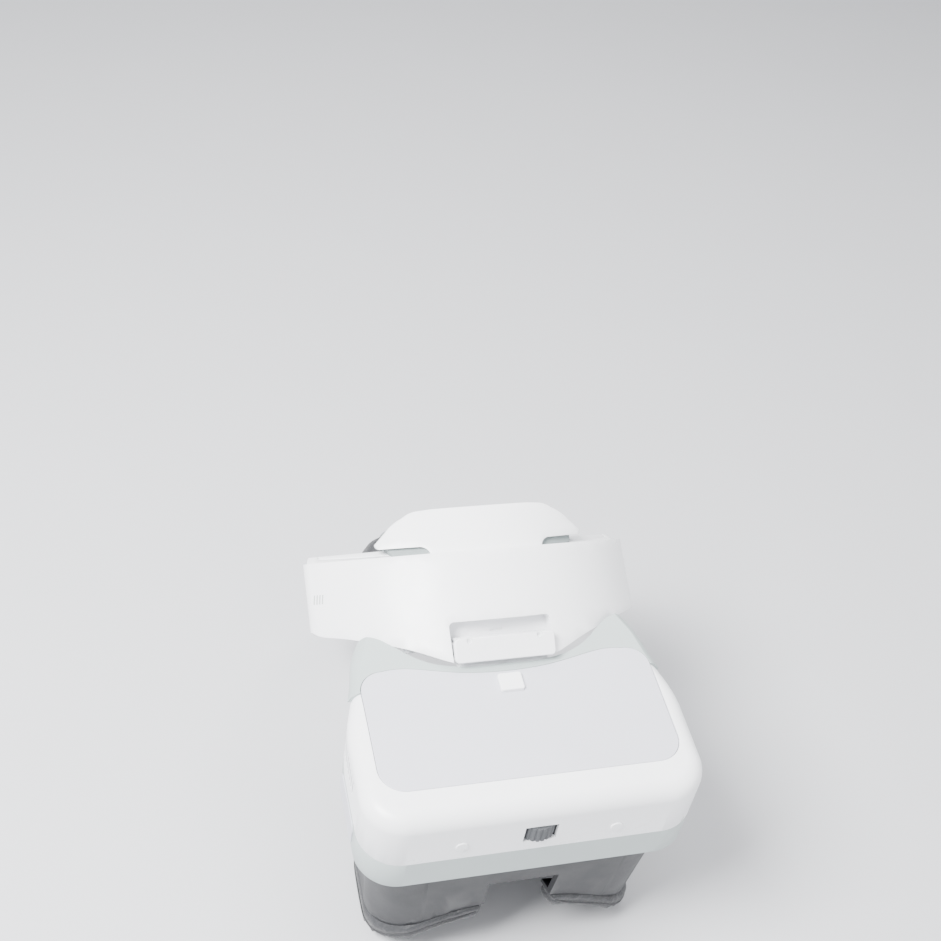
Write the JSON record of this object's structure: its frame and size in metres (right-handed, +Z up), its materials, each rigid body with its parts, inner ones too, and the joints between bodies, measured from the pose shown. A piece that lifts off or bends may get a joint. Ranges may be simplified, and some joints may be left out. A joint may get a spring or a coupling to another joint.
{
  "type": "fpv goggles",
  "caption": "White head-worn video goggles: a curved headband with a rear knob, and a wide flat-fronted headset that tilts up in front of it.",
  "frame": {"origin": "middle of the bottom of the bounding box, on the surface that the goggles stand on", "axes": "+Z up as it stands on its face pad and rear cradle, -Y the side the hinge and the panel's lower edge face, +X the wearer's left"},
  "size_m": [0.206, 0.3286, 0.2095],
  "materials": {
    "white_plastic": "satin moulded ABS",
    "panel_plastic": "fine matt lacquer",
    "grey_plastic": "matt moulded ABS",
    "dark_plastic": "black textured ABS",
    "strap_plastic": "flexible nylon",
    "pad_leather": "soft synthetic leather",
    "steel": "ground",
    "brass_gear": "machined",
    "lens_glass": "coated",
    "display_black": "glossy",
    "circuit": "solder mask",
    "aluminium_part": "black anodised fins",
    "cell_wrap": "shrink film",
    "led": "frosted light pipe",
    "knob_rubber": "ribbed"
  },
  "bodies": {
    "headband": {"band_shell": "white_plastic", "band_inner_frame": "white_plastic", "band_top_trim": "grey_plastic", "crest_plate": "white_plastic", "crest_core": "grey_plastic", "forehead_pad": "pad_leather", "battery_cells": "cell_wrap", "battery_board": "circuit", "level_lights": "led", "power_socket": "dark_plastic", "button_guide": "dark_plastic", "hinge_block": "white_plastic", "hinge_pin": "steel", "hinge_washers": "steel", "pad_screws": "steel"},
    "headset": {"mount_plate": "white_plastic", "front_panel": "panel_plastic", "front_bezel": "white_plastic", "rear_body": "grey_plastic", "mask_frame": "dark_plastic", "face_pad": "pad_leather", "optics_frame": "dark_plastic", "guide_rods": "steel", "display_module": "display_black", "main_board": "circuit", "heat_sink": "aluminium_part", "fan_frame": "dark_plastic", "antennas": "brass_gear", "ipd_shaft": "steel", "usb_port": "steel", "hdmi_port": "steel", "audio_jack": "dark_plastic", "dc_inlet": "dark_plastic", "touch_pad": "dark_plastic", "proximity_sensor": "display_black", "headset_screws": "steel"},
    "back_button": {"back_button": "white_plastic"},
    "battery_button": {"battery_button": "white_plastic"},
    "fan_rotor": {"fan_rotor": "dark_plastic"},
    "function_button": {"function_button": "white_plastic"},
    "ipd_knob": {"ipd_knob": "knob_rubber"},
    "left_optic": {"left_barrel": "dark_plastic", "left_lens": "lens_glass"},
    "power_button": {"power_button": "white_plastic"},
    "rear_cradle": {"rear_strap": "strap_plastic", "rear_housing": "white_plastic", "rear_pad": "pad_leather"},
    "release_button": {"release_button": "white_plastic"},
    "right_optic": {"right_barrel": "dark_plastic", "right_lens": "lens_glass"},
    "tighten_knob": {"tighten_knob": "knob_rubber", "strap_pinion": "brass_gear"}
  },
  "joints": [
    {"name": "headset_tilt", "type": "hinge", "parent": "headband", "child": "headset", "pos_m": [0, -0.05296, 0.16391], "axis": [-1, 0, 0], "range_deg": [-40.8, 15]},
    {"name": "rear_slide", "type": "slide", "parent": "headband", "child": "rear_cradle", "axis": [0, 0.7206, -0.6934], "range_m": [-0.012, 0.014]},
    {"name": "tighten_turn", "type": "hinge", "parent": "rear_cradle", "child": "tighten_knob", "pos_m": [0, 0.14338, 0.02355], "axis": [0, 0.7206, -0.6934], "range_deg": [-110, 128]},
    {"name": "left_lens_slide", "type": "slide", "parent": "headset", "child": "left_optic", "axis": [1, 0, 0], "range_m": [-0.004, 0.004]},
    {"name": "right_lens_slide", "type": "slide", "parent": "headset", "child": "right_optic", "axis": [1, 0, 0], "range_m": [-0.0042, 0.0042]},
    {"name": "lens_spacing_turn", "type": "hinge", "parent": "headset", "child": "ipd_knob", "pos_m": [0, -0.15221, 0.1296], "axis": [0, 0.0924, -0.9957], "range_deg": [-52, 52]},
    {"name": "fan_spin", "type": "hinge", "parent": "headset", "child": "fan_rotor", "pos_m": [-0.062, -0.1091, 0.14113], "axis": [0, 0.0924, -0.9957], "continuous": true},
    {"name": "power_button_press", "type": "slide", "parent": "headset", "child": "power_button", "axis": [0, -0.9957, -0.0924], "range_m": [0, 0.001], "stiffness_N_per_m": 700, "springref_m": -0.0012},
    {"name": "back_button_press", "type": "slide", "parent": "headset", "child": "back_button", "axis": [0, 0.9957, 0.0924], "range_m": [0, 0.001], "stiffness_N_per_m": 700, "springref_m": -0.0012},
    {"name": "function_button_press", "type": "slide", "parent": "headset", "child": "function_button", "axis": [0, 0.9957, 0.0924], "range_m": [0, 0.001], "stiffness_N_per_m": 700, "springref_m": -0.0012},
    {"name": "release_button_press", "type": "slide", "parent": "headset", "child": "release_button", "axis": [0, 0.0924, -0.9957], "range_m": [0, 0.0015], "stiffness_N_per_m": 700, "springref_m": -0.0012},
    {"name": "battery_button_press", "type": "slide", "parent": "headband", "child": "battery_button", "axis": [0, 0.6934, 0.7206], "range_m": [0, 0.0008], "stiffness_N_per_m": 700, "springref_m": -0.0012}
  ],
  "couplings": [
    {"joint": "tighten_turn", "follows": "rear_slide", "rad_per_m": 156.25},
    {"joint": "right_lens_slide", "follows": "left_lens_slide", "ratio": -1},
    {"joint": "lens_spacing_turn", "follows": "left_lens_slide", "rad_per_m": 222.22}
  ]
}
